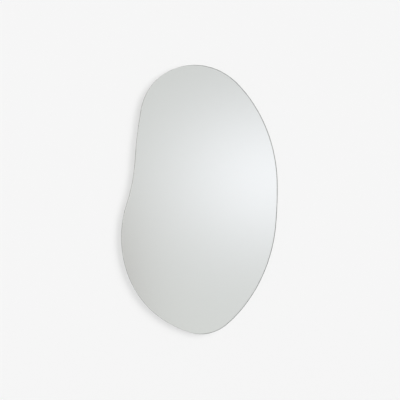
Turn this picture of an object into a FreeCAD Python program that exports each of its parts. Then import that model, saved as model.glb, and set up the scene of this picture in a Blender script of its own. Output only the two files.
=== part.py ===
import FreeCAD, Part
import math
import os

import Sketcher
from FreeCAD import Placement, Rotation, Vector

# Frameless wall mirror with a pebble outline that draws in at a waist on its left.
# Millimetres. X runs to the right seen from the front, Z up, and the wall is the plane Y = 0.
# The mirror face looks towards -Y. The origin is midway between the two bearing points of the
# hangers for upright use, on the wall plane.

# Every size that can be set by itself, grouped by the piece that it belongs to.
SIZES = {
    # Outline of the glass: ten arcs, each tangent to the next, anticlockwise seen from the front,
    # that fill a box of this width and height. A sweep is the turn of the outline along its arc,
    # in degrees. The last sweep and four of the radii aren't listed, because the box and the
    # closing of the outline fix them.
    "mirror_width": 606,
    "mirror_height": 900,
    "outline_start_below": 6,
    "right_mid_radius": 1164,
    "right_mid_sweep": 7,
    "right_upper_sweep": 49,
    "top_sweep": 76,
    "shoulder_radius": 182,
    "shoulder_sweep": 43,
    "flank_radius": 1348,
    "flank_sweep": 7,
    "waist_radius": 512,
    "waist_sweep": 16,
    "bulge_sweep": 73,
    "lower_left_radius": 438,
    "lower_left_sweep": 19,
    "bottom_sweep": 53,
    "lower_right_radius": 468,
    # Glass with polished edges, silvered and painted on its back, over a safety film.
    "glass_thickness": 4,
    "glass_arris": 1,
    "coating_thickness": 0.1,
    "film_thickness": 0.2,
    "film_inset": 3,
    # Fibreboard back, set in from the edge of the glass so that it stays out of sight.
    "board_thickness": 9,
    "board_inset": 22,
    "board_chamfer": 2,
    # Foam tapes that hold the glass while the beads of adhesive between them set.
    "bond_gap": 1,
    "tape_count": 5,
    "tape_width": 25,
    "tape_side_margin": 153,
    "tape_end_margin": 230,
    "bead_width": 11,
    "bead_setback": 20,
    # Rubber bumpers that keep the back off the wall.
    "bumper_height": 6,
    "bumper_radius": 8,
    "bumper_edge": 1.5,
    "bumper_side_margin": 203,
    "bumper_end_margin": 120,
    # Places where the hooks of the wall bear, upright and on the side, below the mirror's edge.
    "portrait_hook_drop": 220,
    "portrait_half_spacing": 150,
    "landscape_hook_drop": 93,
    "landscape_half_spacing": 150,
    # Hanger ring, bent from round wire, with a butt joint hidden in the eye of its strap.
    "ring_wire_radius": 1.5,
    "ring_half_width": 11.5,
    "ring_corner_radius": 3,
    "ring_leg": 4,
    "ring_joint_gap": 0.2,
    "ring_clearance": 0.08,
    # Hanger strap, a steel strip folded double round the ring.
    "strap_gauge": 1,
    "strap_width": 14,
    "strap_bend_radius": 1,
    "strap_corner_radius": 6,
    "strap_near_screw": 8.5,
    "strap_screw_spacing": 13,
    "strap_end_margin": 7,
    # Pan-head screws, in pilot holes of the board that their threads fit.
    "screw_length": 9.5,
    "screw_core_radius": 1.25,
    "screw_thread_radius": 1.75,
    "screw_ridge_width": 1.2,
    "screw_ridge_count": 5,
    "screw_tip": 1.5,
    "screw_head_radius": 3.4,
    "screw_head_height": 2,
    "screw_head_round": 0.9,
    "screw_recess_length": 3.6,
    "screw_recess_width": 0.8,
    "screw_recess_depth": 1.1,
    "screw_hole_clearance": 0.3,
    "pilot_clearance": 0.05,
    "pilot_depth_clearance": 0.3,
}

# Arcs of the outline in order, with +1 where the outline bulges and -1 at the hollow waist.
ARCS = (
    ("right_mid", 1),
    ("right_upper", 1),
    ("top", 1),
    ("shoulder", 1),
    ("flank", 1),
    ("waist", -1),
    ("bulge", 1),
    ("lower_left", 1),
    ("bottom", 1),
    ("lower_right", 1),
)
CLOSING_RADII = ("right_upper", "top", "bulge", "bottom")
FIRST_ARC = "right_mid"
LAST_ARC = "lower_right"

# Sides of the box round the outline: the arc that touches each, and the way out through it.
SIDES = {
    "right": ("right_mid", Vector(1, 0, 0)),
    "top": ("top", Vector(0, 1, 0)),
    "left": ("bulge", Vector(-1, 0, 0)),
    "bottom": ("bottom", Vector(0, -1, 0)),
}

# Distances from the wall to the rear face of each layer, from the cells of the sheet.
BOARD_REAR = "sizes.bumper_height"
BOND_REAR = f"({BOARD_REAR} + sizes.board_thickness)"
FILM_REAR = f"({BOND_REAR} + sizes.bond_gap)"
COATING_REAR = f"({FILM_REAR} + sizes.film_thickness)"
GLASS_REAR = f"({COATING_REAR} + sizes.coating_thickness)"

# The mirror's ends and middle above the hooks for upright use, and its side from their middle.
MIRROR_TOP = "sizes.portrait_hook_drop"
MIRROR_MIDDLE = f"({MIRROR_TOP} - sizes.mirror_height / 2)"
MIRROR_BOTTOM = f"({MIRROR_TOP} - sizes.mirror_height)"
MIRROR_SIDE = "(sizes.mirror_width / 2)"
TAPE_HALF_LENGTH = "(sizes.mirror_height / 2 - sizes.tape_end_margin)"

# Sizes of a hanger that follow from others. The eye of its strap goes round the ring's bar.
EYE_INNER = "(sizes.ring_wire_radius + sizes.ring_clearance)"
EYE_OUTER = f"({EYE_INNER} + sizes.strap_gauge)"
HINGE_REAR = f"({BOARD_REAR} - {EYE_OUTER})"
STRAP_FACE = f"({BOARD_REAR} - 2 * sizes.strap_gauge)"
RING_REACH = "(sizes.ring_leg + sizes.ring_half_width - sizes.ring_wire_radius)"
FAR_SCREW = "(sizes.strap_near_screw + sizes.strap_screw_spacing)"
STRAP_LENGTH = f"({FAR_SCREW} + sizes.strap_end_margin)"
SCREW_IN_BOARD = "(sizes.screw_length - 2 * sizes.strap_gauge)"
LANDSCAPE_REACH = f"({MIRROR_SIDE} - sizes.landscape_hook_drop)"

# Each hanger's label, the point where its hook bears, across and up, and whether it is turned
# so that its ring points to the right instead of up.
HANGERS = (
    ("portrait_left", "-sizes.portrait_half_spacing", "0", False),
    ("portrait_right", "sizes.portrait_half_spacing", "0", False),
    ("landscape_upper", LANDSCAPE_REACH, f"{MIRROR_MIDDLE} + sizes.landscape_half_spacing", True),
    ("landscape_lower", LANDSCAPE_REACH, f"{MIRROR_MIDDLE} - sizes.landscape_half_spacing", True),
)

# Ends and centre of a sketched line or arc, and the sketch's own origin.
START, END, CENTRE = range(1, 4)
ORIGIN = (-1, START)

# Degrees between a sideways and an upright hanger, and between the grooves of a cross recess.
QUARTER_TURN = 90

doc = FreeCAD.newDocument("irregular_mirror")
sheet = doc.addObject("Spreadsheet::Sheet", "sizes")
for row, (alias, content) in enumerate(SIZES.items(), start=1):
    sheet.set(f"A{row}", alias.replace("_", " "))
    sheet.set(f"B{row}", str(content))
    sheet.setAlias(f"B{row}", alias)
doc.recompute()


def value(formula):
    """The present value of a formula."""
    return float(sheet.evalExpression(formula))


def new_body(label, across="0", rear="0", up="0", turned=False):
    """An empty sub-part, placed by its distances across, from the wall and up."""
    body = doc.addObject("PartDesign::Body", label)
    body.Label = label
    if turned:
        body.Placement = Placement(Vector(), Rotation(Vector(0, 1, 0), QUARTER_TURN))
    body.setExpression("Placement.Base.x", across)
    body.setExpression("Placement.Base.y", f"-({rear})")
    body.setExpression("Placement.Base.z", up)
    return body


def sketch_on(body, name, plane, lift="0"):
    """A sketch on one of the body's own origin planes, lifted along the plane's normal."""
    sketch = body.newObject("Sketcher::SketchObject", name)
    origin_plane = [item for item in body.Origin.OriginFeatures if item.Role == plane][0]
    sketch.AttachmentSupport = [(origin_plane, "")]
    sketch.MapMode = "FlatFace"
    sketch.setExpression("AttachmentOffset.Base.z", lift)
    return sketch


def feature(body, kind, name, **settings):
    """Add a feature to a body, set it up and make it the body's last one."""
    added = body.newObject("PartDesign::" + kind, name)
    for setting, content in settings.items():
        setattr(added, setting, content)
    body.Tip = added
    return added


def dimension(sketch, kind, name, formula, *references):
    """Add a dimension to a sketch and tie it to a formula."""
    start = math.radians(value(formula)) if kind == "Angle" else value(formula)
    index = sketch.addConstraint(Sketcher.Constraint(kind, *references, start))
    sketch.renameConstraint(index, name)
    sketch.setExpression("Constraints." + name, f"({formula}) * 1 deg" if kind == "Angle" else formula)


def locate(sketch, name, point, across, up):
    """Dimension a point from the sketch's origin."""
    dimension(sketch, "DistanceX", name + "_across", across, *ORIGIN, *point)
    dimension(sketch, "DistanceY", name + "_up", up, *ORIGIN, *point)


def tangent_arc(start, end, heading):
    """The arc that leaves start along heading and comes to end, and whether it turns left."""
    chord = end - start
    left = Vector(-heading.y, heading.x, 0)
    reach = chord.dot(chord) / (2 * chord.dot(left))
    centre = start + left * reach
    angle_in, angle_out = (math.atan2(spoke.y, spoke.x) for spoke in (start - centre, end - centre))
    turns_left = reach > 0
    low, high = (angle_in, angle_out) if turns_left else (angle_out, angle_in)
    if high < low:
        high += 2 * math.pi
    circle = Part.Circle(centre, Vector(0, 0, 1), abs(reach))
    return Part.ArcOfCircle(circle, low, high), turns_left


def trace(sketch, points, arcs=(), closed=True):
    """Draw lines through dimensioned points, with an arc instead after each point in arcs.

    An arc leaves its point tangent to the line before it.
    """
    places = [Vector(value(across), value(up), 0) for across, up in points]
    count = len(points) if closed else len(points) - 1
    ends = []
    for index in range(count):
        start, end = places[index], places[(index + 1) % len(places)]
        if index in arcs:
            heading = (start - places[index - 1]).normalize()
            drawn, turns_left = tangent_arc(start, end, heading)
            ends.append((START, END) if turns_left else (END, START))
        else:
            drawn = Part.LineSegment(start, end)
            ends.append((START, END))
        sketch.addGeometry(drawn)
    for index in range(count):
        locate(sketch, f"point_{index}", (index, ends[index][0]), *points[index])
        following = (index + 1) % count
        joint = (index, ends[index][1], following, ends[following][0])
        if following == 0 and not closed:
            locate(sketch, "last_point", (index, ends[index][1]), *points[-1])
        elif following in arcs:
            sketch.addConstraint(Sketcher.Constraint("Tangent", *joint))
        else:
            sketch.addConstraint(Sketcher.Constraint("Coincident", *joint))


def circles(sketch, radius, centres):
    """Draw circles of one radius about dimensioned centres."""
    for index, (across, up) in enumerate(centres):
        centre = Vector(value(across), value(up), 0)
        sketch.addGeometry(Part.Circle(centre, Vector(0, 0, 1), value(radius)))
        dimension(sketch, "Radius", f"radius_{index}", radius, index)
        locate(sketch, f"centre_{index}", (index, CENTRE), across, up)


def rectangle(sketch, half_width, half_height):
    """Draw a rectangle about the sketch's origin."""
    corners = ((-1, -1), (1, -1), (1, 1), (-1, 1))
    trace(sketch, [(f"{x} * ({half_width})", f"{y} * ({half_height})") for x, y in corners])


def same(one, other):
    """Whether two places agree within the modelling tolerance."""
    return math.isclose(one, other, abs_tol=Part.Precision.confusion())


def flat_edges(shape, level):
    """Names of the edges of a shape that lie in one plane square to its body's own Y."""
    names = []
    for index, edge in enumerate(shape.Edges, start=1):
        if all(same(vertex.Y, level) for vertex in edge.Vertexes):
            names.append(f"Edge{index}")
    return names


def determinant(columns):
    """Determinant of four columns of four numbers."""
    return FreeCAD.Matrix(*(number for column in columns for number in column)).determinant()


def outline_arcs():
    """Name, sense, centre, radius and end angles in radians of each arc of the outline."""
    names = [name for name, _ in ARCS]
    sweeps = {name: math.radians(value(f"sizes.{name}_sweep")) for name in names if name != LAST_ARC}
    turned = sum(sense * sweeps[name] for name, sense in ARCS if name != LAST_ARC)
    sweeps[LAST_ARC] = 2 * math.pi - turned

    # The outward normal turns along each arc, whose chord is its radius times its step.
    angles = [-math.radians(value("sizes.outline_start_below"))]
    for name, sense in ARCS:
        angles.append(angles[-1] + sense * sweeps[name])
    normals = [Vector(math.cos(angle), math.sin(angle), 0) for angle in angles]
    steps = []
    for index, (_, sense) in enumerate(ARCS):
        steps.append((normals[index + 1] - normals[index]) * sense)

    # How far a unit of each arc's radius moves the point where the outline touches a side.
    touches = {}
    for side, (name, outward) in SIDES.items():
        index = names.index(name)
        later = len(names) - index - 1
        touches[side] = steps[:index] + [outward - normals[index]] + later * [Vector()]

    # The outline comes back to its start and fills the box, which settles the radii left over.
    rules = (
        ([step.x for step in steps], 0),
        ([step.y for step in steps], 0),
        ([(a - b).x for a, b in zip(touches["right"], touches["left"])], value("sizes.mirror_width")),
        ([(a - b).y for a, b in zip(touches["top"], touches["bottom"])], value("sizes.mirror_height")),
    )
    radii = {name: value(f"sizes.{name}_radius") for name in names if name not in CLOSING_RADII}
    rest = []
    for shares, total in rules:
        rest.append(total - sum(shares[names.index(name)] * radius for name, radius in radii.items()))
    columns = [[shares[names.index(name)] for shares, _ in rules] for name in CLOSING_RADII]
    for index, name in enumerate(CLOSING_RADII):
        replaced = columns[:index] + [rest] + columns[index + 1:]
        radii[name] = determinant(replaced) / determinant(columns)

    joint = Vector(
        value(MIRROR_SIDE) - sum(radii[name] * touch.x for name, touch in zip(names, touches["right"])),
        value(MIRROR_TOP) - sum(radii[name] * touch.y for name, touch in zip(names, touches["top"])),
        0,
    )
    arcs = []
    for index, (name, sense) in enumerate(ARCS):
        centre = joint - normals[index] * (sense * radii[name])
        arcs.append((name, sense, centre, radii[name], angles[index], angles[index + 1]))
        joint += steps[index] * radii[name]
    return arcs


def outline(sketch, inset):
    """Draw the outline of the glass, set in by a formula: its arcs keep their centres."""
    names = [name for name, _ in ARCS]
    for name, sense, centre, radius, first, last in outline_arcs():
        circle = Part.Circle(centre, Vector(0, 0, 1), radius - sense * value(inset))
        if sense < 0:
            first, last = last + math.pi, first + math.pi
        sketch.addGeometry(Part.ArcOfCircle(circle, first, last))
    for index, (name, sense) in enumerate(ARCS):
        following = (index + 1) % len(ARCS)
        leaves = END if sense > 0 else START
        enters = START if ARCS[following][1] > 0 else END
        sketch.addConstraint(Sketcher.Constraint("Tangent", index, leaves, following, enters))
        if name not in CLOSING_RADII:
            narrower = f"sizes.{name}_radius - ({sense}) * ({inset})"
            dimension(sketch, "Radius", name + "_radius", narrower, index)
        if name != LAST_ARC:
            dimension(sketch, "Angle", name + "_sweep", f"sizes.{name}_sweep", index)
    below = f"(sizes.{FIRST_ARC}_radius - ({inset})) * sin(sizes.outline_start_below * 1 deg)"
    dimension(sketch, "DistanceY", "start_below", below, 0, START, 0, CENTRE)

    # The box is drawn as construction lines, each tangent to the arc that touches it.
    side = f"{MIRROR_SIDE} - ({inset})"
    top, bottom = f"{MIRROR_TOP} - ({inset})", f"{MIRROR_BOTTOM} + ({inset})"
    corners = [(side, top), (f"-({side})", top), (f"-({side})", bottom), (side, bottom)]
    places = [Vector(value(across), value(up), 0) for across, up in corners]
    for index, corner in enumerate(corners):
        sketch.addGeometry(Part.LineSegment(places[index - 1], places[index]), True)
        locate(sketch, f"corner_{index}", (len(ARCS) + index, END), *corner)
    for index, (touched, _) in enumerate(SIDES.values()):
        line, following = len(ARCS) + index, len(ARCS) + (index + 1) % len(SIDES)
        sketch.addConstraint(Sketcher.Constraint("Coincident", line, END, following, START))
        sketch.addConstraint(Sketcher.Constraint("Tangent", line, names.index(touched)))


def outline_plate(label, rear, thickness, inset):
    """A flat layer with the outline of the glass, set in from its edge."""
    body = new_body(label, rear=rear)
    sketch = sketch_on(body, label + "_outline", "XZ_Plane")
    outline(sketch, inset)
    pad = feature(body, "Pad", label + "_plate", Profile=sketch)
    pad.setExpression("Length", thickness)
    doc.recompute()
    return body, pad


def glass_pane():
    """Float glass with a polished 45 degree arris on its front and rear edges."""
    body, pad = outline_plate("glass_pane", GLASS_REAR, "sizes.glass_thickness", "0")
    edges = flat_edges(pad.Shape, 0) + flat_edges(pad.Shape, -value("sizes.glass_thickness"))
    arris = feature(body, "Chamfer", "glass_arrises", Base=(pad, edges))
    arris.setExpression("Size", "sizes.glass_arris")


def backing_board():
    """Fibreboard with an eased rear edge and blind pilot holes for the hanger screws."""
    body, pad = outline_plate("backing_board", BOARD_REAR, "sizes.board_thickness", "sizes.board_inset")
    eased = feature(body, "Chamfer", "board_rear_edge", Base=(pad, flat_edges(pad.Shape, 0)))
    eased.setExpression("Size", "sizes.board_chamfer")
    sketch = sketch_on(body, "pilot_holes", "XZ_Plane")
    holes = [(across, up) for hanger in HANGERS for across, up in screw_places(*hanger[1:])]
    circles(sketch, "sizes.screw_thread_radius + sizes.pilot_clearance", holes)
    pilots = feature(body, "Pocket", "board_pilots", Profile=sketch, Reversed=True)
    pilots.setExpression("Length", f"{SCREW_IN_BOARD} + sizes.pilot_depth_clearance")


def bond_places(count, first):
    """Evenly spaced places across the mirror, the first of them so many half spacings in."""
    gaps = round(value("sizes.tape_count")) - 1
    outer = f"({MIRROR_SIDE} - sizes.tape_side_margin)"
    return [f"{(2 * number + first) / gaps - 1} * {outer}" for number in range(count)]


def foam_tapes():
    """Upright strips of double-sided foam tape, side by side about the middle of the glass."""
    count = round(value("sizes.tape_count"))
    for number, across in enumerate(bond_places(count, 0), start=1):
        body = new_body(f"foam_tape_{number}", across, BOND_REAR, MIRROR_MIDDLE)
        sketch = sketch_on(body, f"tape_face_{number}", "XZ_Plane")
        rectangle(sketch, "sizes.tape_width / 2", TAPE_HALF_LENGTH)
        strip = feature(body, "Pad", f"tape_strip_{number}", Profile=sketch)
        strip.setExpression("Length", "sizes.bond_gap")


def adhesive_beads():
    """Beads of adhesive pressed flat midway between the tapes, with round ends."""
    side = "sizes.bead_width / 2"
    straight = f"({TAPE_HALF_LENGTH} - sizes.bead_setback - {side})"
    corners = [
        (f"-({side})", f"-({straight})"),
        (side, f"-({straight})"),
        (side, straight),
        (f"-({side})", straight),
    ]
    count = round(value("sizes.tape_count")) - 1
    for number, across in enumerate(bond_places(count, 1), start=1):
        body = new_body(f"adhesive_bead_{number}", across, BOND_REAR, MIRROR_MIDDLE)
        sketch = sketch_on(body, f"bead_face_{number}", "XZ_Plane")
        trace(sketch, corners, arcs=(0, 2))
        bead = feature(body, "Pad", f"bead_strip_{number}", Profile=sketch)
        bead.setExpression("Length", "sizes.bond_gap")


def bumpers():
    """Four round rubber bumpers stuck to the board, rounded where they meet the wall."""
    reach = f"({MIRROR_SIDE} - sizes.bumper_side_margin)"
    heights = (
        ("upper", f"{MIRROR_TOP} - sizes.bumper_end_margin"),
        ("lower", f"{MIRROR_BOTTOM} + sizes.bumper_end_margin"),
    )
    for level, up in heights:
        for side, across in (("left", f"-{reach}"), ("right", reach)):
            label = f"bumper_{level}_{side}"
            body = new_body(label, across, "0", up)
            sketch = sketch_on(body, label + "_face", "XZ_Plane")
            circles(sketch, "sizes.bumper_radius", [("0", "0")])
            disc = feature(body, "Pad", label + "_disc", Profile=sketch)
            disc.setExpression("Length", "sizes.bumper_height")
            doc.recompute()
            edge = feature(body, "Fillet", label + "_edge", Base=(disc, flat_edges(disc.Shape, 0)))
            edge.setExpression("Radius", "sizes.bumper_edge")


def along(across, up, turned, distance):
    """The point at a distance back from where a hook bears, along the hanger."""
    if turned:
        return f"{across} - ({distance})", up
    return across, f"{up} - ({distance})"


def screw_places(across, up, turned):
    """Centres of a hanger's two screws."""
    steps = ("sizes.strap_near_screw", FAR_SCREW)
    return [along(across, up, turned, f"{RING_REACH} + {step}") for step in steps]


def hanger_strap(label, across, up, turned):
    """Steel strip folded round the ring's bar, both layers flat on the board behind the eye."""
    across, up = along(across, up, turned, RING_REACH)
    body = new_body(label, across, HINGE_REAR, up, turned)
    sketch = sketch_on(body, label + "_fold", "YZ_Plane")
    fold_profile(sketch)
    strip = feature(body, "Pad", label + "_strip", Profile=sketch, SideType="Symmetric")
    strip.setExpression("Length", "sizes.strap_width")
    holes_sketch = sketch_on(body, label + "_hole_places", "XZ_Plane")
    places = [("0", "-sizes.strap_near_screw"), ("0", f"-{FAR_SCREW}")]
    circles(holes_sketch, "sizes.screw_thread_radius + sizes.screw_hole_clearance", places)
    holes = feature(body, "Pocket", label + "_holes", Profile=holes_sketch)
    holes.SideType = "Symmetric"
    holes.Type = "ThroughAll"
    doc.recompute()
    end = -value(STRAP_LENGTH)
    corners = []
    for index, edge in enumerate(holes.Shape.Edges, start=1):
        first, last = edge.Vertexes[0], edge.Vertexes[-1]
        if same(first.Z, end) and same(last.Z, end) and same(first.X, last.X):
            corners.append(f"Edge{index}")
    rounded = feature(body, "Fillet", label + "_corners", Base=(holes, corners))
    rounded.setExpression("Radius", "sizes.strap_corner_radius")


def fold_profile(sketch):
    """Section of the folded strip: its outer line, and the eye with the wedge of the fold."""
    inner, outer = value(EYE_INNER), value(EYE_OUTER)
    gauge, bend = value("sizes.strap_gauge"), value("sizes.strap_bend_radius")
    length = value(STRAP_LENGTH)
    face = 2 * gauge - outer
    bend_centre = Vector(face + bend, -math.sqrt((outer + bend) ** 2 - (face + bend) ** 2), 0)
    towards_eye = math.atan2(-bend_centre.y, -bend_centre.x)
    normal = Vector(0, 0, 1)
    layer_end = [Vector(-outer, 0, 0), Vector(-outer, -length, 0), Vector(face, -length, 0)]
    bend_start = Vector(face, bend_centre.y, 0)
    eye = (towards_eye - math.pi, math.pi)
    sketch.addGeometry([
        Part.LineSegment(layer_end[0], layer_end[1]),
        Part.LineSegment(layer_end[1], layer_end[2]),
        Part.LineSegment(layer_end[2], bend_start),
        Part.ArcOfCircle(Part.Circle(bend_centre, normal, bend), towards_eye, math.pi),
        Part.ArcOfCircle(Part.Circle(Vector(), normal, outer), *eye),
        Part.LineSegment(Vector(-inner, 0, 0), Vector(-inner, bend_centre.y, 0)),
        Part.ArcOfCircle(Part.Circle(bend_centre, normal, bend + gauge), towards_eye, math.pi),
        Part.ArcOfCircle(Part.Circle(Vector(), normal, inner), *eye),
    ], False)
    under, end, top, outer_bend, outer_eye, inside, inner_bend, inner_eye = range(8)
    rules = (
        ("Coincident", under, END, end, START),
        ("Coincident", end, END, top, START),
        ("Vertical", under),
        ("Horizontal", end),
        ("Vertical", top),
        ("Tangent", top, END, outer_bend, END),
        ("Tangent", outer_bend, START, outer_eye, START),
        ("Tangent", outer_eye, END, under, START),
        ("Coincident", outer_eye, CENTRE, *ORIGIN),
        ("Coincident", inner_eye, CENTRE, *ORIGIN),
        ("Coincident", inner_bend, CENTRE, outer_bend, CENTRE),
        ("Tangent", inside, END, inner_bend, END),
        ("Tangent", inner_bend, START, inner_eye, START),
        ("Tangent", inner_eye, END, inside, START),
    )
    for rule in rules:
        sketch.addConstraint(Sketcher.Constraint(*rule))
    dimension(sketch, "Radius", "eye_outside", EYE_OUTER, outer_eye)
    dimension(sketch, "Radius", "eye_inside", EYE_INNER, inner_eye)
    dimension(sketch, "Radius", "bend", "sizes.strap_bend_radius", outer_bend)
    dimension(sketch, "DistanceY", "length", STRAP_LENGTH, end, START, *ORIGIN)
    dimension(sketch, "DistanceX", "layers", "2 * sizes.strap_gauge", end, START, end, END)


def hanger_ring(label, across, up, turned):
    """D of round wire. Its straight bar turns in the eye, where the ends of the wire meet."""
    across, up = along(across, up, turned, RING_REACH)
    body = new_body(label, across, HINGE_REAR, up, turned)
    wide, bend = "sizes.ring_half_width", "sizes.ring_corner_radius"
    half_gap = "sizes.ring_joint_gap / 2"
    path = sketch_on(body, label + "_line", "XZ_Plane")
    points = [
        (half_gap, "0"),
        (f"{wide} - {bend}", "0"),
        (wide, bend),
        (wide, "sizes.ring_leg"),
        (f"-{wide}", "sizes.ring_leg"),
        (f"-{wide}", bend),
        (f"{bend} - {wide}", "0"),
        (f"-{half_gap}", "0"),
    ]
    trace(path, points, arcs=(1, 3, 5), closed=False)
    section = sketch_on(body, label + "_wire", "YZ_Plane", half_gap)
    circles(section, "sizes.ring_wire_radius", [("0", "0")])
    doc.recompute()
    feature(body, "AdditivePipe", label + "_sweep", Profile=section, Spine=(path, []))


def screw(label, across, up):
    """Pan-head screw: core, thread ridges, point and a cross recess in its head."""
    body = new_body(label, across, STRAP_FACE, up)
    profile = sketch_on(body, label + "_profile", "XY_Plane")
    trace(profile, [
        ("0", "sizes.screw_head_height"),
        ("0", "-sizes.screw_length"),
        ("sizes.screw_core_radius", "sizes.screw_tip - sizes.screw_length"),
        ("sizes.screw_core_radius", "0"),
        ("sizes.screw_head_radius", "0"),
        ("sizes.screw_head_radius", "sizes.screw_head_height"),
    ])
    blank = feature(body, "Revolution", label + "_blank", Profile=profile)
    blank.ReferenceAxis = (profile, ["V_Axis"])
    doc.recompute()
    rim = flat_edges(blank.Shape, value("sizes.screw_head_height"))
    dome = feature(body, "Fillet", label + "_dome", Base=(blank, rim))
    dome.setExpression("Radius", "sizes.screw_head_round")

    ridge = sketch_on(body, label + "_ridge", "XY_Plane")
    first = "sizes.screw_tip - sizes.screw_length"
    trace(ridge, [
        ("0", first),
        ("sizes.screw_core_radius", first),
        ("sizes.screw_thread_radius", f"{first} + sizes.screw_ridge_width / 2"),
        ("sizes.screw_core_radius", f"{first} + sizes.screw_ridge_width"),
        ("0", f"{first} + sizes.screw_ridge_width"),
    ])
    turn = feature(body, "Revolution", label + "_turn", Profile=ridge)
    turn.ReferenceAxis = (ridge, ["V_Axis"])
    thread = feature(body, "LinearPattern", label + "_thread", Originals=[turn])
    thread.Direction = (ridge, ["V_Axis"])
    thread.setExpression("Occurrences", "sizes.screw_ridge_count")
    thread.setExpression("Length", "sizes.screw_ridge_width * (sizes.screw_ridge_count - 1)")

    bar = sketch_on(body, label + "_recess_bar", "XZ_Plane", "-sizes.screw_head_height")
    rectangle(bar, "sizes.screw_recess_length / 2", "sizes.screw_recess_width / 2")
    groove = feature(body, "Pocket", label + "_groove", Profile=bar, Reversed=True)
    groove.setExpression("Length", "sizes.screw_recess_depth")
    cross = feature(body, "PolarPattern", label + "_cross", Originals=[groove], Occurrences=2)
    cross.Axis = (bar, ["N_Axis"])
    cross.Angle = QUARTER_TURN
    return body


def hanger_screws(label, across, up, turned):
    """The pair of screws of one hanger, in one sub-part."""
    pair = []
    for number, (screw_across, screw_up) in enumerate(screw_places(across, up, turned), start=1):
        pair.append(screw(f"{label}_{number}", screw_across, screw_up))
    group = doc.addObject("Part::Compound", label)
    group.Label = label
    group.Links = pair
    return group


glass_pane()
outline_plate("silver_coating", COATING_REAR, "sizes.coating_thickness", "sizes.glass_arris")
outline_plate("safety_film", FILM_REAR, "sizes.film_thickness", "sizes.film_inset")
backing_board()
foam_tapes()
adhesive_beads()
bumpers()
screw_groups = []
for hanger, bearing_across, bearing_up, sideways in HANGERS:
    hanger_strap(f"{hanger}_hanger_strap", bearing_across, bearing_up, sideways)
    hanger_ring(f"{hanger}_hanger_ring", bearing_across, bearing_up, sideways)
    screw_groups.append(hanger_screws(f"{hanger}_hanger_screws", bearing_across, bearing_up, sideways))
doc.recompute()

# Single screws are written only in their pairs.
loose = {single.Name for group in screw_groups for single in group.Links}
subparts = [item for item in doc.Objects if item.TypeId == "PartDesign::Body" and item.Name not in loose]
subparts += screw_groups
for item in doc.Objects:
    if "Invalid" in item.State or "Error" in item.State:
        raise RuntimeError(f"{item.Label} did not build: {item.State}")
for item in doc.findObjects("PartDesign::Pocket"):
    if item.BaseFeature.Shape.Volume - item.Shape.Volume < Part.Precision.confusion():
        raise RuntimeError(f"{item.Label} cuts nothing")
for item in subparts:
    if item.Shape.isNull() or not item.Shape.isValid():
        raise RuntimeError(f"{item.Label} has no valid shape")

os.makedirs("parts", exist_ok=True)
for item in subparts:
    item.Shape.exportStep(f"parts/{item.Label}.step")
    box = item.Shape.BoundBox
    print(f"{item.Label}: {len(item.Shape.Solids)} solids, {item.Shape.Volume:.1f} mm3, "
          f"x {box.XMin:.2f} to {box.XMax:.2f}, y {box.YMin:.2f} to {box.YMax:.2f}, "
          f"z {box.ZMin:.2f} to {box.ZMax:.2f}")
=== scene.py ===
import math

import bpy
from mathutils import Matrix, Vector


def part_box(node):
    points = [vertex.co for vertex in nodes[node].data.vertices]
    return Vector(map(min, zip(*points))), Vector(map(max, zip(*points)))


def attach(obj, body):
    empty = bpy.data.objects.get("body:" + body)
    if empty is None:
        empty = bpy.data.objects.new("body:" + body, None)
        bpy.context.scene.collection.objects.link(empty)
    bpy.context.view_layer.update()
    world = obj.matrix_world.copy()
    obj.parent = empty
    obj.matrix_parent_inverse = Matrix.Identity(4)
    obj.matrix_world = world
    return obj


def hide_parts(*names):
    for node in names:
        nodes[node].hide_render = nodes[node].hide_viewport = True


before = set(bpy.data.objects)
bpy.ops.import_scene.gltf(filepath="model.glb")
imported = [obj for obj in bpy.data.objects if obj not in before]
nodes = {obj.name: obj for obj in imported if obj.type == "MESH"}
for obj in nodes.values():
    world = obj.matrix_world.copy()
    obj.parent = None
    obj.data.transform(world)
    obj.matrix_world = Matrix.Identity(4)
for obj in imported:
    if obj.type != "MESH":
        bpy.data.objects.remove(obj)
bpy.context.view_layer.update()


# Camera of the photograph: on a level with the middle of the mirror, three and a half metres off
# and 30.5 degrees round to the left.
CAMERA_PLACE = (-1.7880, -3.0349, -0.2308)
CAMERA_TURN = -30.5
LENS_MM = 94.26
SENSOR_MM = 36

bpy.ops.object.camera_add(
    location=CAMERA_PLACE, rotation=(math.radians(90), 0, math.radians(CAMERA_TURN))
)
camera = bpy.context.object
camera.name = "camera"
camera.data.lens = LENS_MM
camera.data.sensor_width = SENSOR_MM
bpy.context.scene.camera = camera
bpy.context.scene.view_settings.view_transform = "Standard"


# Wall and floor: pale paint that glows a little, so that it stays pale, and that takes the soft
# shadow of the mirror. From behind, and for the short rays that start on the mirror's back, the
# wall is clear, so that light and the other views reach the back.
WALL_WHITE = (0.922, 0.922, 0.922, 1)
WALL_SHADED = 0.36
WALL_MIDDLE = (0, 0.0006, 0.2)
WALL_SIZE = (9, 3.6, 1)
# Rays that are shorter than this pass through the wall, unless the camera sends them.
CLEAR_WITHIN = 0.03
FLOOR_WHITE = (0.905, 0.905, 0.905, 1)
FLOOR_SHADED = 0.3
FLOOR_MIDDLE = (0, -1, -1.6)
FLOOR_SIZE = 9


def put(tree, socket, value):
    """Sets one socket to a value, or links it to the socket that is given as the value."""
    if isinstance(value, bpy.types.NodeSocket):
        tree.links.new(value, socket)
    else:
        socket.default_value = value


def feed(tree, node, **inputs):
    """Sets or links the sockets of a node that are named here."""
    for name, value in inputs.items():
        put(tree, node.inputs[name.replace("_", " ")], value)


def add_node(tree, kind, **inputs):
    """A new node, with the sockets named here set or linked."""
    node = tree.nodes.new("ShaderNode" + kind)
    feed(tree, node, **inputs)
    return node


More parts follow.
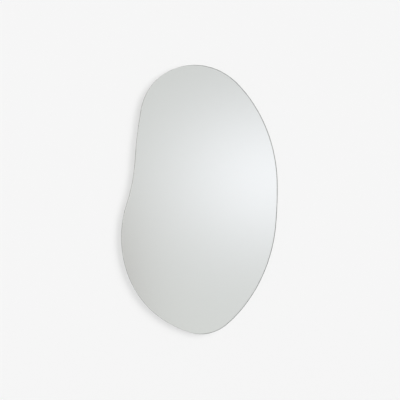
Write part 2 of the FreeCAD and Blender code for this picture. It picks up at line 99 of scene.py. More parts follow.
def maths(tree, operation, *values):
    """The result of a Math node on these values or sockets."""
    node = add_node(tree, "Math")
    node.operation = operation
    for socket, value in zip(node.inputs, values):
        put(tree, socket, value)
    return node.outputs[0]


def inverse(tree, mask):
    """0 where the mask is 1, and 1 where it is 0."""
    return maths(tree, "SUBTRACT", 1.0, mask)


def mix_shaders(tree, share, first, second):
    """The first shader where the share is 0 and the second where it is 1."""
    node = add_node(tree, "MixShader", Fac=share)
    put(tree, node.inputs[1], first)
    put(tree, node.inputs[2], second)
    return node.outputs[0]


def empty_tree(owner):
    """The emptied node tree of a material or world."""
    owner.use_nodes = True
    owner.node_tree.nodes.clear()
    return owner.node_tree


def pale_paint(tree, colour, shaded):
    """The shader of the wall or the floor, with this share of it taking light and shadow."""
    glow = add_node(tree, "Emission", Color=colour, Strength=1.0)
    matt = add_node(tree, "BsdfDiffuse", Color=colour)
    return mix_shaders(tree, shaded, glow.outputs[0], matt.outputs[0])


wall_paint = bpy.data.materials.new("wall_paint")
tree = empty_tree(wall_paint)
ray = add_node(tree, "LightPath")
in_front = inverse(tree, add_node(tree, "NewGeometry").outputs["Backfacing"])
far = maths(tree, "GREATER_THAN", ray.outputs["Ray Length"], CLEAR_WITHIN)
seen_or_far = maths(tree, "MAXIMUM", ray.outputs["Is Camera Ray"], far)
clear = add_node(tree, "BsdfTransparent").outputs[0]
painted = pale_paint(tree, WALL_WHITE, WALL_SHADED)
shown = mix_shaders(tree, maths(tree, "MULTIPLY", in_front, seen_or_far), clear, painted)
add_node(tree, "OutputMaterial", Surface=shown)

bpy.ops.object.select_all(action="DESELECT")
bpy.ops.mesh.primitive_plane_add(size=1, location=WALL_MIDDLE, rotation=(math.radians(90), 0, 0))
wall = bpy.context.object
wall.name = "wall"
wall.scale = WALL_SIZE
bpy.ops.object.transform_apply(location=True, rotation=True, scale=True)
wall.data.materials.append(wall_paint)
wall.visible_shadow = False

floor_paint = bpy.data.materials.new("floor_paint")
tree = empty_tree(floor_paint)
add_node(tree, "OutputMaterial", Surface=pale_paint(tree, FLOOR_WHITE, FLOOR_SHADED))
bpy.ops.mesh.primitive_plane_add(size=FLOOR_SIZE, location=FLOOR_MIDDLE)
floor = bpy.context.object
floor.name = "floor"
bpy.ops.object.transform_apply(location=True, rotation=True, scale=True)
floor.data.materials.append(floor_paint)
floor.visible_diffuse = False
floor.visible_glossy = False
floor.visible_transmission = False


# Lamps: one broad soft lamp on the right, a little above, that throws the mirror's shadow to the
# left, and one behind that lights the hangers. Shiny pieces mirror the room instead of the lamps.
def soft_lamp(name, azimuth, elevation, width, strength):
    """A far, soft lamp. Azimuth 0 is straight in front of the mirror and 90 is on its right, and
    the width is the angle that the lamp fills. All three angles are in degrees."""
    bpy.ops.object.light_add(
        type="SUN", rotation=(math.radians(90 - elevation), 0, math.radians(azimuth))
    )
    lamp = bpy.context.object
    lamp.name = name
    lamp.data.angle = math.radians(width)
    lamp.data.energy = strength
    lamp.visible_glossy = False
    lamp.visible_transmission = False


soft_lamp("front_lamp", azimuth=30, elevation=17, width=54, strength=2.16)
soft_lamp("rear_lamp", azimuth=205, elevation=35, width=40, strength=1.8)


# Room in front of the mirror and behind it: grey, a little lighter towards the floor, with soft
# lighter and darker patches, such as the window on the right and the dark corner beside it. Only
# shiny pieces see it: the camera sees a pale background, and matt pieces get even light.
ROOM_GREY = 0.672
ROOM_LEAN = -0.19
ROOM_TINT = (0.996, 1.0, 0.976)
WINDOW = (34.6, 1.4, 6.1, 4.5)
WINDOW_GLOW = (34.6, 1.4, 8, 7)
WINDOW_TINT = (1.004, 1.0, 1.031)
CORNER = (23.2, -12, 3.4, 10.5)
CORNER_TINT = (1.10, 1.0, 0.98)
# Each patch: azimuth, elevation, half width and half height in degrees, and the light it adds.
PATCHES = (
    (*WINDOW, 0.278),
    (*CORNER, -0.54),
    (-4, 6, 7, 8, 0.26),
    (4, -10, 9, 8, -0.10),
    (-49, -19, 6, 6, 0.28),
    (-41, -31, 9, 8, -0.14),
    (-34, 1.6, 5, 3.6, 0.45),
    (47, -4, 6, 8, 0.20),
    (135, -6, 11, 13, 0.45),
    (165, -20, 14, 25, -0.45),
    (105, -30, 18, 20, -0.40),
    (200, 40, 30, 20, 0.60),
)
PATCH_DEPTH = 0.6
EVEN_WHITE = (0.97, 0.97, 0.97, 1)
EVEN_LIGHT = 0.45


def vector_maths(tree, operation, first, second):
    """A Vector Math node on these two values or sockets."""
    node = add_node(tree, "VectorMath")
    node.operation = operation
    put(tree, node.inputs[0], first)
    put(tree, node.inputs[1], second)
    return node


def soft_patch(tree, way, azimuth, elevation, half_width, half_height):
    """How much a ray heads for a soft oval patch of the room, from 0 to 1. Angles in degrees."""
    turned = add_node(tree, "Mapping", Vector=way, Rotation=(0, 0, math.radians(-azimuth)))
    rise = math.radians(elevation)
    middle = (0, -math.cos(rise), math.sin(rise))
    away = vector_maths(tree, "SUBTRACT", turned.outputs[0], middle)
    oval = (math.sin(math.radians(half_width)), PATCH_DEPTH, math.sin(math.radians(half_height)))
    widths = vector_maths(tree, "DIVIDE", away.outputs[0], oval).outputs[0]
    squared = vector_maths(tree, "DOT_PRODUCT", widths, widths).outputs["Value"]
    return maths(tree, "EXPONENT", maths(tree, "MULTIPLY", squared, -1.0))


def blend(tree, share, first, second):
    """The first colour where the share is 0 and the second where it is 1."""
    node = add_node(tree, "Mix", Factor=share)
    node.data_type = "RGBA"
    for socket, colour in ((node.inputs[6], first), (node.inputs[7], second)):
        put(tree, socket, (*colour, 1) if isinstance(colour, tuple) else colour)
    return node.outputs[2]


room = bpy.data.worlds.new("room")
bpy.context.scene.world = room
tree = empty_tree(room)
way = add_node(tree, "TexCoord").outputs["Generated"]
up = add_node(tree, "SeparateXYZ", Vector=way).outputs["Z"]
grey = maths(tree, "MULTIPLY_ADD", up, ROOM_LEAN, ROOM_GREY)
for *place, light in PATCHES:
    grey = maths(tree, "MULTIPLY_ADD", soft_patch(tree, way, *place), light, grey)
tint = blend(tree, soft_patch(tree, way, *WINDOW_GLOW), ROOM_TINT, WINDOW_TINT)
tint = blend(tree, soft_patch(tree, way, *CORNER), tint, CORNER_TINT)
shiny = add_node(tree, "Background", Color=tint, Strength=grey)
even = add_node(tree, "Background", Color=EVEN_WHITE, Strength=EVEN_LIGHT)
background = add_node(tree, "Background", Color=WALL_WHITE, Strength=1.0)
ray = add_node(tree, "LightPath").outputs
mirrored = maths(tree, "MAXIMUM", ray["Is Glossy Ray"], ray["Is Transmission Ray"])
unseen = mix_shaders(tree, mirrored, even.outputs[0], shiny.outputs[0])
seen = mix_shaders(tree, ray["Is Camera Ray"], unseen, background.outputs[0])
add_node(tree, "OutputWorld", Surface=seen)


# Glass pane: 4 mm float glass cut to the pebble outline. Its edge is ground flat, arrised on both
# sides and polished, which leaves faint lines along it. Iron tints the glass green.
GLASS_IOR = 1.52
IRON_GREEN = (0.55, 0.90, 0.78, 1)
IRON_DENSITY = 5.0
POLISH_DEPTH = 0.00002
# Points nearer than this are one, and faces that turn by fewer degrees than this are one.
SAME_PLACE = 0.000001
SAME_PLANE = 0.5
OUTLINE_HALVINGS = 2


def finish(name, **inputs):
    """A material with one Principled shader: the material, its node tree and the shader."""
    material = bpy.data.materials.new(name)
    tree = empty_tree(material)
    shader = add_node(tree, "BsdfPrincipled", **inputs)
    add_node(tree, "OutputMaterial", Surface=shader.outputs[0])
    return material, tree, shader


def dress(piece, material):
    """Gives a piece this one material."""
    piece.data.materials.clear()
    piece.data.materials.append(material)


def spread(tree, mask, low, high):
    """A mask from 0 to 1 brought to the range from low to high."""
    return maths(tree, "MULTIPLY_ADD", mask, high - low, low)


def between(tree, value, start, end):
    """0 where the value is at start or before, 1 at end or past it, and smooth between them."""
    node = add_node(
        tree, "MapRange", Value=value, From_Min=start, From_Max=end, To_Min=0.0, To_Max=1.0
    )
    node.interpolation_type = "SMOOTHSTEP"
    return node.outputs[0]


def stretched(tree, stretch=(1, 1, 1)):
    """Object coordinates with each axis multiplied by its stretch."""
    place = add_node(tree, "TexCoord").outputs["Object"]
    return add_node(tree, "Mapping", Vector=place, Scale=stretch).outputs[0]


def cloud(tree, scale, detail, stretch=(1, 1, 1)):
    """Cloudy noise from 0 to 1, with this many clouds to the metre."""
    place = stretched(tree, stretch)
    return add_node(tree, "TexNoise", Vector=place, Scale=scale, Detail=detail).outputs[0]


def part_of_normal(tree, axis):
    """How far the surface faces along this axis, from 0 to 1 either way."""
    normal = add_node(tree, "NewGeometry").outputs["Normal"]
    return maths(tree, "ABSOLUTE", add_node(tree, "SeparateXYZ", Vector=normal).outputs[axis])


def bumps(tree, height, depth):
    """The normal of a surface with bumps this deep, in metres, where the height goes to 1."""
    return add_node(tree, "Bump", Height=height, Distance=depth, Strength=1.0).outputs[0]


def copy_of(node, name):
    """A piece with its own copy of a CAD node's mesh, its loose triangles merged."""
    bpy.ops.object.select_all(action="DESELECT")
    piece = bpy.data.objects.new(name, nodes[node].data.copy())
    bpy.context.collection.objects.link(piece)
    bpy.context.view_layer.objects.active = piece
    piece.select_set(True)
    bpy.ops.object.mode_set(mode="EDIT")
    bpy.ops.mesh.select_all(action="SELECT")
    bpy.ops.mesh.remove_doubles(threshold=SAME_PLACE)
    bpy.ops.mesh.dissolve_limited(angle_limit=math.radians(SAME_PLANE))
    bpy.ops.object.mode_set(mode="OBJECT")
    return piece


def halve_runs(piece):
    """Halves the straight runs of the outline, each new point on the curve that passes through
    the two points on either side of it."""
    mesh = piece.data
    bpy.ops.object.mode_set(mode="EDIT")
    bpy.ops.mesh.select_mode(type="EDGE")
    bpy.ops.mesh.select_all(action="DESELECT")
    bpy.ops.object.mode_set(mode="OBJECT")
    beside = {vertex.index: set() for vertex in mesh.vertices}
    for edge in mesh.edges:
        first, second = edge.vertices
        climb = abs(mesh.vertices[first].co.y - mesh.vertices[second].co.y)
        edge.select = climb < SAME_PLACE
        if edge.select:
            beside[first].add(second)
            beside[second].add(first)
    bpy.ops.object.mode_set(mode="EDIT")
    bpy.ops.mesh.subdivide(number_cuts=1)
    bpy.ops.object.mode_set(mode="OBJECT")
    ends = {vertex.index: [] for vertex in mesh.vertices if vertex.index not in beside}
    for edge in mesh.edges:
        for new, old in (edge.vertices, reversed(edge.vertices)):
            if new in ends and old in beside:
                ends[new].append(old)
    for new, (first, second) in ends.items():
        near = mesh.vertices[first].co + mesh.vertices[second].co
        (before,) = beside[first] - {second}
        (after,) = beside[second] - {first}
        far = mesh.vertices[before].co + mesh.vertices[after].co
        mesh.vertices[new].co = (9 * near - far) / 16


def fine_copy(node, name):
    """A copy of a CAD node with the straight runs of its outline halved and halved again."""
    piece = copy_of(node, name)
    for _ in range(OUTLINE_HALVINGS):
        halve_runs(piece)
    return piece


def fit(piece, slot, *replaced, body="root"):
    """Fixes a finished piece to its body, in place of these CAD nodes."""
    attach(piece, body)
    if replaced:
        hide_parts(*replaced)


float_glass, tree, shader = finish(
    "float_glass", Base_Color=(1, 1, 1, 1), IOR=GLASS_IOR, Transmission_Weight=1.0
)
on_edge = inverse(tree, between(tree, part_of_normal(tree, "Y"), 0.8, 0.95))
polish_lines = cloud(tree, 60, detail=3.0, stretch=(1, 90, 1))
wiped = cloud(tree, 9, detail=3.0, stretch=(1, 1, 2.5))
edge_roughness = spread(tree, polish_lines, 0.02, 0.10)
face_roughness = spread(tree, wiped, 0.0, 0.004)
feed(
    tree,
    shader,
    Roughness=maths(tree, "MULTIPLY_ADD", on_edge, edge_roughness, face_roughness),
    Normal=bumps(tree, maths(tree, "MULTIPLY", polish_lines, on_edge), POLISH_DEPTH),
)
green = add_node(tree, "VolumeAbsorption", Color=IRON_GREEN, Density=IRON_DENSITY)
feed(tree, tree.nodes["Material Output"], Volume=green.outputs[0])

pane = fine_copy("glass_pane", "mirror_pane")
bpy.ops.object.shade_smooth_by_angle(angle=math.radians(30))
dress(pane, float_glass)
fit(pane, "clear_glass", "glass_pane")


# Silvering: bright silver on the back of the glass, under two coats of grey-green paint, to a
# millimetre from the edge. The silver is ground back a little further than the paint. Its face
# lies a hair inside the glass, so that the glass ends on silver and not on air.
SILVER_WHITE = (0.955, 0.965, 0.955)
SILVER_OVERLAP = 0.00002
BARE_RIM = 0.0001
COAT_TONES = ((0.20, 0.25, 0.235), (0.29, 0.34, 0.32))
# Seal paint tones, dark enough to give the painted shade of the dark line round the mirror.
SEAL_SHADE_TONES = ((0.26, 0.29, 0.28), (0.36, 0.39, 0.38))
BRUSH_DEPTH = 0.00003
# Points nearer to the silver's face than this are on it.
ON_FACE = 0.00001


def choose(piece, test, kind="FACE"):
    """Goes to edit mode and selects only the faces or edges whose points all pass the test."""
    bpy.ops.object.mode_set(mode="EDIT")
    bpy.ops.mesh.select_mode(type=kind)
    bpy.ops.mesh.select_all(action="DESELECT")
    bpy.ops.object.mode_set(mode="OBJECT")
    mesh = piece.data
    for item in mesh.polygons if kind == "FACE" else mesh.edges:
        item.select = all(test(mesh.vertices[index].co) for index in item.vertices)
    bpy.ops.object.mode_set(mode="EDIT")


silvering, tree, shader = finish("silvering")
outward = add_node(tree, "SeparateXYZ", Vector=add_node(tree, "NewGeometry").outputs["Normal"])
is_silver = maths(tree, "LESS_THAN", outward.outputs["Y"], -0.5)
is_paint = inverse(tree, is_silver)
coat_streaks = cloud(tree, 14, detail=4.0, stretch=(1, 1, 12))
coat_tone = blend(tree, coat_streaks, *COAT_TONES)
feed(
    tree,
    shader,
    Base_Color=blend(tree, is_silver, coat_tone, SILVER_WHITE),
    Metallic=is_silver,
    Roughness=maths(tree, "MULTIPLY", is_paint, spread(tree, coat_streaks, 0.45, 0.65)),
)

# Seal paint: real grey edge paint whose tone is painted shade, the dark line along the glass edge.
seal_shade_paint, tree, shader = finish("seal_shade_paint")
brushed = cloud(tree, 160, detail=4.0)
feed(
    tree,
    shader,
    Base_Color=blend(tree, brushed, *SEAL_SHADE_TONES),
    Roughness=spread(tree, brushed, 0.4, 0.65),
    Normal=bumps(tree, brushed, BRUSH_DEPTH),
)

silver = fine_copy("silver_coating", "silvered_back")
silver_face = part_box("silver_coating")[0].y + ON_FACE
for vertex in silver.data.vertices:
    if vertex.co.y < silver_face:
        vertex.co.y -= SILVER_OVERLAP
dress(silver, silvering)
# The thin rim where the silver is ground back takes the same grey, the painted shade of the edge
# line.
silver.data.materials.append(seal_shade_paint)
choose(silver, lambda point: point.y < silver_face)
bpy.ops.mesh.inset(thickness=BARE_RIM)
bpy.ops.object.mode_set(mode="OBJECT")
faces = [face for face in silver.data.polygons if face.center.y < silver_face]
largest = max(face.area for face in faces)
for face in faces:
    face.material_index = 1 if face.area < largest else 0
fit(silver, "mirror_silver", "silver_coating")


# Edge seal: grey paint brushed on the rear arris of the glass, over the bare rim, against damp
# that would creep under the silver. Its grey is painted shade: through the glass it shows as the
# dark line round the mirror, in place of the glass edge's own shading and dark reflections.
SEAL_THICKNESS = 0.00006
# -1 would put the whole coat inside the glass and 1 would put it all outside.
SEAL_OFFSET = 0.3

seal_shade_coat = fine_copy("glass_pane", "edge_seal_shade")
choose(seal_shade_coat, lambda point: True)
bpy.ops.object.mode_set(mode="OBJECT")
for face in seal_shade_coat.data.polygons:
    on_rear_arris = 0.5 < face.normal.y < 0.9
    face.select = not on_rear_arris
bpy.ops.object.mode_set(mode="EDIT")
bpy.ops.mesh.delete(type="FACE")
bpy.ops.object.mode_set(mode="OBJECT")
coat = seal_shade_coat.modifiers.new("coat", "SOLIDIFY")
coat.thickness = SEAL_THICKNESS
coat.offset = SEAL_OFFSET
bpy.ops.object.modifier_apply(modifier="coat")
bpy.ops.object.shade_smooth_by_angle(angle=math.radians(30))
dress(seal_shade_coat, seal_shade_paint)
fit(seal_shade_coat, "mirror_silver")


# Safety film: a translucent film with a fine woven scrim, rolled on the paint so that broken
# glass stays together. Where it hasn't wetted out, it looks paler.
FILM_TONES = ((0.48, 0.53, 0.515), (0.65, 0.68, 0.67))
SCRIM_SCALE = 230.0
SCRIM_WANDER = 0.4
SCRIM_DEPTH = 0.00003


def threads(tree, direction):
    """Woven threads side by side along this axis, from 0 to 1."""
    node = add_node(
        tree, "TexWave", Vector=stretched(tree), Scale=SCRIM_SCALE, Distortion=SCRIM_WANDER
    )
    node.bands_direction = direction
    return node.outputs[1]


woven_film, tree, shader = finish("woven_film")
scrim = maths(tree, "MAXIMUM", threads(tree, "X"), threads(tree, "Z"))
pale = between(tree, cloud(tree, 18, detail=4.0), 0.35, 0.65)
pale_threads = maths(tree, "MULTIPLY", pale, spread(tree, scrim, 0.3, 1.0))
feed(
    tree,
    shader,
    Base_Color=blend(tree, pale_threads, *FILM_TONES),
    Roughness=spread(tree, scrim, 0.32, 0.5),
    Normal=bumps(tree, scrim, SCRIM_DEPTH),
)
dress(nodes["safety_film"], woven_film)


# Foam tapes: white closed-cell foam with adhesive on both faces, a millimetre thick. They hold the
# glass on the board while the adhesive sets.
FOAM_TONES = ((0.52, 0.52, 0.49), (0.74, 0.74, 0.71))
CELL_SCALE = 2200.0
CELL_DEPTH = 0.00012


def nodes_named(text):
    """The names of the CAD nodes that hold this text, in order."""
    return sorted(name for name in nodes if text in name)


tape_foam, tree, shader = finish("tape_foam")
cells = add_node(tree, "TexVoronoi", Vector=stretched(tree), Scale=CELL_SCALE).outputs[0]
feed(
    tree,
    shader,
    Base_Color=blend(tree, cells, *FOAM_TONES),
    Roughness=spread(tree, cells, 0.95, 0.75),
    Normal=bumps(tree, cells, CELL_DEPTH),
)
for node in nodes_named("foam_tape"):
    dress(nodes[node], tape_foam)


# Beads of mirror adhesive: run out of a cartridge as round strings and pressed flat between film
# and board, so their edges wander and bulge.
ADHESIVE_TONES = ((0.50, 0.52, 0.51), (0.64, 0.66, 0.64))
SKIN_DEPTH = 0.00006
BEAD_STEP = 0.009
BEAD_WANDER = 0.00045
SHORT_WAVE = 190
LONG_WAVE = 83
BEAD_END = 0.006
BEAD_ROUNDING = 0.00035


def round_edges(piece, width, segments, sharper_than):
    """Rounds every edge that turns by more than this many degrees."""
    rounding = piece.modifiers.new("rounding", "BEVEL")
    rounding.width = width
    rounding.segments = segments
    rounding.limit_method = "ANGLE"
    rounding.angle_limit = math.radians(sharper_than)
    bpy.ops.object.modifier_apply(modifier="rounding")
    bpy.ops.object.shade_smooth_by_angle(angle=math.radians(35))


set_adhesive, tree, shader = finish("set_adhesive")
skin = cloud(tree, 240, detail=4.0)
feed(
    tree,
    shader,
    Base_Color=blend(tree, skin, *ADHESIVE_TONES),
    Roughness=spread(tree, skin, 0.35, 0.55),
    Normal=bumps(tree, skin, SKIN_DEPTH),
)

for number, node in enumerate(nodes_named("adhesive_bead")):
    low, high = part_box(node)
    bead = copy_of(node, f"pressed_bead_{number + 1}")
    bpy.ops.object.mode_set(mode="EDIT")
    height = low.z + BEAD_STEP
    while height < high.z:
        bpy.ops.mesh.select_all(action="SELECT")
        bpy.ops.mesh.bisect(plane_co=(0, 0, height), plane_no=(0, 0, 1))
        height += BEAD_STEP
    bpy.ops.object.mode_set(mode="OBJECT")
    for vertex in bead.data.vertices:
        side = 1 if vertex.co.x > (low.x + high.x) / 2 else -1
        wander = math.sin(vertex.co.z * SHORT_WAVE + number * 2 + side)
        wander += math.sin(vertex.co.z * LONG_WAVE + number * 5 + side * 2)
        if low.z + BEAD_END < vertex.co.z < high.z - BEAD_END:
            vertex.co.x += side * BEAD_WANDER * wander
    round_edges(bead, BEAD_ROUNDING, segments=3, sharper_than=50)
    dress(bead, set_adhesive)
    fit(bead, "adhesive", node)


# Backing board: 9 mm fibreboard, sawn to the outline 22 mm inside the glass and chamfered
# towards the wall. Its faces are sanded, and its sawn edge is darker and furry.
BOARD_TONES = ((0.36, 0.225, 0.115), (0.56, 0.375, 0.21))
PALE_FLECK = (0.66, 0.48, 0.30)
DARK_CHIP = (0.16, 0.09, 0.04)
SAWN_BROWN = (0.22, 0.13, 0.06)
FIBRE_DEPTH = 0.00025

sanded_board, tree, shader = finish("sanded_fibreboard")
fibres = cloud(tree, 700, detail=6.0, stretch=(1, 2.2, 0.55))
mottle = cloud(tree, 11, detail=3.0)
upright_flecks = cloud(tree, 1900, detail=2.0, stretch=(1, 1, 0.3))
level_flecks = cloud(tree, 1900, detail=2.0, stretch=(0.3, 1, 1))
flecks = between(tree, maths(tree, "MAXIMUM", upright_flecks, level_flecks), 0.62, 0.74)
chips = add_node(tree, "TexVoronoi", Vector=stretched(tree, (1, 1, 0.5)), Scale=260.0).outputs[0]
chip = inverse(tree, between(tree, chips, 0.05, 0.17))
sawn = inverse(tree, between(tree, part_of_normal(tree, "Y"), 0.75, 0.97))
tone = maths(tree, "MULTIPLY_ADD", fibres, 0.72, maths(tree, "MULTIPLY", mottle, 0.28))
tone = blend(tree, between(tree, tone, 0.3, 0.7), *BOARD_TONES)
tone = blend(tree, maths(tree, "MULTIPLY", flecks, 0.5), tone, PALE_FLECK)
tone = blend(tree, maths(tree, "MULTIPLY", chip, 0.45), tone, DARK_CHIP)
browned = maths(tree, "MULTIPLY", sawn, spread(tree, fibres, 0.5, 0.9))
tone = blend(tree, browned, tone, SAWN_BROWN)
roughness = spread(tree, fibres, 0.9, 0.72)
fur = maths(tree, "MULTIPLY", fibres, spread(tree, sawn, 0.3, 1.0))
feed(tree, shader, Base_Color=tone, Roughness=roughness, Normal=bumps(tree, fur, FIBRE_DEPTH))
dress(nodes["backing_board"], sanded_board)


# Bumpers: black rubber pads, moulded with a slight draft, a rounded rim and a shallow dish, and
# stuck on the board to hold it off the wall.
RUBBER_BLACK = (0.018, 0.018, 0.019)
SCUFF_GREY = (0.11, 0.11, 0.105)
RUBBER_GRAIN = 0.00003
BUMPER_RADIUS = 0.008
BUMPER_HEIGHT = 0.006
# How wide the end at the wall is, as a share of the end on the board.
BUMPER_DRAFT = 0.965
# The dish, from the rim to its middle: how far each step goes in, and how far it sinks.
DISH_STEPS = ((0.0030, 0.0), (0.0006, 0.0004), (0.0016, 0.0002))
RIM_RADIUS = 0.0075
RIM_ROUNDING = 0.0014
FOOT_ROUNDING = 0.0002
# Points nearer to an end than this are on it.
AT_END = 0.0001


def cylinder_along_y(vertices, radius, length, middle):
    """A new cylinder along Y, with its place in its mesh."""
    bpy.ops.object.select_all(action="DESELECT")
    bpy.ops.mesh.primitive_cylinder_add(
        vertices=vertices,
        radius=radius,
        depth=length,
        location=middle,
        rotation=(math.radians(90), 0, 0),
    )
    bpy.ops.object.transform_apply(location=True, rotation=True, scale=True)
    return bpy.context.object


bumper_rubber, tree, shader = finish("bumper_rubber")
scuffed = cloud(tree, 330, detail=4.0)
depth = add_node(tree, "SeparateXYZ", Vector=stretched(tree)).outputs["Y"]
at_wall = between(tree, depth, -0.0009, -0.0001)
scuffs = maths(tree, "MULTIPLY", at_wall, between(tree, scuffed, 0.42, 0.68))
feed(
    tree,
    shader,
    Base_Color=blend(tree, scuffs, RUBBER_BLACK, SCUFF_GREY),
    Roughness=spread(tree, scuffed, 0.42, 0.68),
    Normal=bumps(tree, cloud(tree, 2600, detail=3.0), RUBBER_GRAIN),
)

for node in nodes_named("bumper"):
    low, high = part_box(node)
    middle = (low + high) / 2
    bumper = cylinder_along_y(96, BUMPER_RADIUS, BUMPER_HEIGHT, middle)
    bumper.name = node.replace("bumper", "rubber_bumper")
    choose(bumper, lambda point: point.y > high.y - AT_END)
    bpy.ops.transform.resize(value=(BUMPER_DRAFT, 1, BUMPER_DRAFT), center_override=middle)
    for inset, sink in DISH_STEPS:
        bpy.ops.mesh.inset(thickness=inset)
        bpy.ops.transform.translate(value=(0, -sink, 0))
    choose(
        bumper,
        lambda point: point.y > high.y - AT_END and (point - middle).xz.length > RIM_RADIUS,
        "EDGE",
    )
    bpy.ops.mesh.bevel(offset=RIM_ROUNDING, segments=7, profile=0.5, affect="EDGES")
    choose(bumper, lambda point: point.y < low.y + AT_END, "EDGE")
    bpy.ops.mesh.bevel(offset=FOOT_ROUNDING, segments=2, affect="EDGES")
    bpy.ops.object.mode_set(mode="OBJECT")
    bpy.ops.object.shade_smooth_by_angle(angle=math.radians(35))
    dress(bumper, bumper_rubber)
    fit(bumper, "bumper_rubber", node)


# Hanger straps: bright zinc-plated steel strip, punched, folded double round the bar of the ring,
# and screwed flat on the board. The press rolls the edges over a little.
ZINC_TONES = ((0.66, 0.69, 0.73), (0.76, 0.76, 0.73))
RUBBED_GREY = (0.44, 0.44, 0.44)
RUBBED_ROUGHER = 0.18
STRAP_ROUNDING = 0.00015

zinc = bpy.data.node_groups.new("bright_zinc", "ShaderNodeTree")
for name in ("Crystal Scale", "Wear"):
    zinc.interface.new_socket(name=name, in_out="INPUT", socket_type="NodeSocketFloat")
zinc.interface.new_socket(name="Colour", in_out="OUTPUT", socket_type="NodeSocketColor")
for name in ("Roughness", "Height"):
    zinc.interface.new_socket(name=name, in_out="OUTPUT", socket_type="NodeSocketFloat")
given = zinc.nodes.new("NodeGroupInput").outputs
made = zinc.nodes.new("NodeGroupOutput")
crystals = add_node(zinc, "TexVoronoi", Vector=stretched(zinc), Scale=given["Crystal Scale"])
bloom = cloud(zinc, 120, detail=4.0)
rubbed = maths(zinc, "MULTIPLY", between(zinc, bloom, 0.48, 0.64), given["Wear"])
plate_tone = blend(zinc, bloom, *ZINC_TONES)
plate_tone = blend(zinc, rubbed, plate_tone, RUBBED_GREY)
crystal_grey = add_node(zinc, "RGBToBW", Color=crystals.outputs["Color"]).outputs[0]
crystal_roughness = spread(zinc, crystal_grey, 0.14, 0.26)
feed(
    zinc,
    made,
    Colour=plate_tone,
    Height=crystals.outputs["Distance"],
    Roughness=maths(zinc, "MULTIPLY_ADD", rubbed, RUBBED_ROUGHER, crystal_roughness),
)


def zinc_finish(name, crystal_scale, wear, depth):
    """Bright zinc plate on steel, with crystals of this many to the metre."""
    material, tree, shader = finish(name, Metallic=1.0)
    plate = add_node(tree, "Group")
    plate.node_tree = zinc
    feed(tree, plate, Crystal_Scale=crystal_scale, Wear=wear)
    feed(
        tree,
        shader,
        Base_Color=plate.outputs["Colour"],
        Roughness=plate.outputs["Roughness"],
        Normal=bumps(tree, plate.outputs["Height"], depth),
    )
    return material


strap_zinc = zinc_finish("strap_zinc", crystal_scale=1400.0, wear=0.5, depth=0.00001)
for node in nodes_named("hanger_strap"):
    strap = copy_of(node, node.replace("hanger_strap", "folded_strap"))
    round_edges(strap, STRAP_ROUNDING, segments=2, sharper_than=50)
    dress(strap, strap_zinc)
    fit(strap, "zinc_steel", node)


# Rings: 3 mm steel wire bent to a D, with its butt joint hidden in the strap's eye, and plated.
# Handling has rubbed the plate a little duller here than on the straps.
ring_zinc = zinc_finish("ring_zinc", crystal_scale=900.0, wear=0.8, depth=0.000008)
for node in nodes_named("hanger_ring"):
    ring = copy_of(node, node.replace("hanger_ring", "wire_ring"))
    bpy.ops.object.shade_smooth_by_angle(angle=math.radians(35))
    dress(ring, ring_zinc)
    fit(ring, "ring_steel", node, body=node.replace("hanger_ring", "ring"))


# Screws: plated pan-head wood screws, 9.5 mm long, with a cross recess and a rolled thread. They
# go through both layers of the strap into the board, each stopped at its own angle.
HEAD_RADIUS = 0.0034
HEAD_HEIGHT = 0.002
HEAD_ROUNDING = 0.0009
RECESS_SIZE = (0.0036, 0.0016, 0.0008)
RECESS_MIDDLE = -0.0003
RECESS_TAPER = (0.55, 1, 0.7)
SCREW_LENGTH = 0.0095
SHANK_OVERLAP = 0.0002
TIP_LENGTH = 0.0015
# How wide the very tip is, as a share of the core.
TIP_TAPER = 0.08
CORE_RADIUS = 0.00125
THREAD_RADIUS = 0.00175
THREAD_PITCH = 0.0015
THREAD_TURNS = 5
THREAD_STEPS = 24
THREAD_START = 0.0006
# Half the thread's width at its foot, and how deep the foot sits in the core.
FOOT_HALF = 0.0004
FOOT_DEPTH = 0.0002
# The thread fades out towards the head from here on, by this much radius to the length.
RUNOUT_START = 0.0050
RUNOUT_SLOPE = 0.4
# How far outside the cone of the screw's point the thread's crest and foot may be.
CREST_OUTSIDE = 0.0002
FOOT_OUTSIDE = -0.0001
LEAST_RADIUS = 0.00012
DRIVE_ANGLES = (17, 62, 5, 48, 81, 33, 70, 24)


def use_tool(piece, tool, operation):
    """Cuts the tool out of the piece, or joins it to the piece, and removes the tool."""
    bpy.ops.object.select_all(action="DESELECT")
    bpy.context.view_layer.objects.active = piece
    piece.select_set(True)
    step = piece.modifiers.new("step", "BOOLEAN")
    step.operation = operation
    step.object = tool
    bpy.ops.object.modifier_apply(modifier="step")
    bpy.data.objects.remove(tool)


def screw_head():
    """A pan head along Y, with the middle of its top at the origin and its foot towards -Y."""
    head = cylinder_along_y(48, HEAD_RADIUS, HEAD_HEIGHT, (0, -HEAD_HEIGHT / 2, 0))
    choose(head, lambda point: point.y > -AT_END, "EDGE")
    bpy.ops.mesh.bevel(offset=HEAD_ROUNDING, segments=6, profile=0.5, affect="EDGES")
    bpy.ops.object.mode_set(mode="OBJECT")
    return head


def cut_recess(screw):
    """Cuts the cross recess, whose two slots narrow towards its floor."""
    for turn in (0, 90):
        bpy.ops.mesh.primitive_cube_add(size=1, location=(0, RECESS_MIDDLE, 0))
        cutter = bpy.context.object
        cutter.scale = RECESS_SIZE
        bpy.ops.object.transform_apply(location=True, rotation=True, scale=True)
        choose(cutter, lambda point: point.y < RECESS_MIDDLE)
        bpy.ops.transform.resize(value=RECESS_TAPER, center_override=(0, 0, 0))
        bpy.ops.object.mode_set(mode="OBJECT")
        cutter.rotation_euler = (0, math.radians(turn), 0)
        bpy.ops.object.transform_apply(location=True, rotation=True, scale=True)
        use_tool(screw, cutter, "DIFFERENCE")


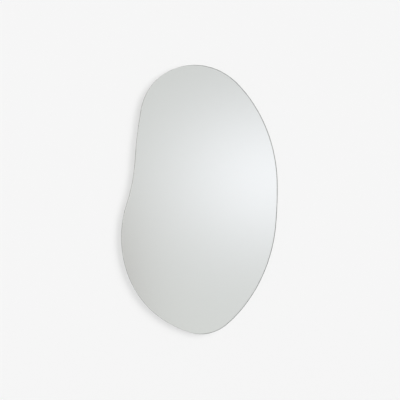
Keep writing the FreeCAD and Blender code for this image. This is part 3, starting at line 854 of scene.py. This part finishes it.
def add_shank(screw, tip_start):
    """Joins the core to the head, with its point."""
    shank = cylinder_along_y(
        32,
        CORE_RADIUS,
        SCREW_LENGTH - TIP_LENGTH + SHANK_OVERLAP,
        (0, -HEAD_HEIGHT - (SCREW_LENGTH - TIP_LENGTH) / 2 + SHANK_OVERLAP / 2, 0),
    )
    choose(shank, lambda point: point.y < tip_start + AT_END)
    bpy.ops.mesh.extrude_region_move(TRANSFORM_OT_translate={"value": (0, -TIP_LENGTH, 0)})
    bpy.ops.transform.resize(value=(TIP_TAPER, 1, TIP_TAPER), center_override=(0, 0, 0))
    bpy.ops.object.mode_set(mode="OBJECT")
    use_tool(screw, shank, "UNION")


def add_thread(screw, tip_start):
    """Joins a rolled thread to the core. It runs out on the point and towards the head."""
    bpy.ops.mesh.primitive_circle_add(vertices=3, radius=0.001)
    thread = bpy.context.object
    start = -HEAD_HEIGHT - SCREW_LENGTH + THREAD_START
    foot = CORE_RADIUS - FOOT_DEPTH
    flanks = ((foot, -FOOT_HALF), (THREAD_RADIUS, 0), (foot, FOOT_HALF))
    for vertex, (out, along) in zip(thread.data.vertices, flanks):
        vertex.co = (out, start + along, 0)
    rolled = thread.modifiers.new("rolled", "SCREW")
    rolled.axis = "Y"
    rolled.screw_offset = THREAD_PITCH
    rolled.iterations = THREAD_TURNS
    rolled.steps = THREAD_STEPS
    rolled.render_steps = THREAD_STEPS
    bpy.ops.object.modifier_apply(modifier="rolled")
    bpy.ops.object.mode_set(mode="EDIT")
    bpy.ops.mesh.select_all(action="SELECT")
    bpy.ops.mesh.fill_holes(sides=3)
    bpy.ops.mesh.select_all(action="SELECT")
    bpy.ops.mesh.normals_make_consistent(inside=False)
    bpy.ops.object.mode_set(mode="OBJECT")
    for vertex in thread.data.vertices:
        out = vertex.co.xz.length
        outside = CREST_OUTSIDE if out > CORE_RADIUS else FOOT_OUTSIDE
        on_point = CORE_RADIUS * (vertex.co.y - start + THREAD_START) / TIP_LENGTH + outside
        past_runout = max(0, vertex.co.y - tip_start - RUNOUT_START)
        runout = THREAD_RADIUS - RUNOUT_SLOPE * past_runout
        allowed = max(LEAST_RADIUS, min(runout, on_point, THREAD_RADIUS))
        if out > allowed:
            vertex.co.x *= allowed / out
            vertex.co.z *= allowed / out
    use_tool(screw, thread, "UNION")
    bpy.ops.object.mode_set(mode="EDIT")
    bpy.ops.mesh.select_all(action="SELECT")
    bpy.ops.mesh.remove_doubles(threshold=2 * SAME_PLACE)
    bpy.ops.object.mode_set(mode="OBJECT")


screw_zinc = zinc_finish("screw_zinc", crystal_scale=1800.0, wear=0.3, depth=0.000008)
tip_start = -HEAD_HEIGHT - SCREW_LENGTH + TIP_LENGTH
first_screw = screw_head()
cut_recess(first_screw)
add_shank(first_screw, tip_start)
add_thread(first_screw, tip_start)

angles = iter(DRIVE_ANGLES)
for node in nodes_named("hanger_screws"):
    low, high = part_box(node)
    pair = []
    for x, z in (
        (low.x + HEAD_RADIUS, low.z + HEAD_RADIUS),
        (high.x - HEAD_RADIUS, high.z - HEAD_RADIUS),
    ):
        screw = bpy.data.objects.new("screw", first_screw.data.copy())
        bpy.context.collection.objects.link(screw)
        screw.location = (x, high.y, z)
        screw.rotation_euler = (0, math.radians(next(angles)), 0)
        pair.append(screw)
    bpy.ops.object.select_all(action="DESELECT")
    for screw in pair:
        screw.select_set(True)
    bpy.context.view_layer.objects.active = pair[0]
    bpy.ops.object.transform_apply(location=True, rotation=True, scale=True)
    bpy.ops.object.join()
    screws = bpy.context.object
    screws.name = node.replace("hanger_screws", "wood_screws")
    bpy.ops.object.shade_smooth_by_angle(angle=math.radians(35))
    dress(screws, screw_zinc)
    fit(screws, "screw_steel", node)
bpy.data.objects.remove(first_screw)
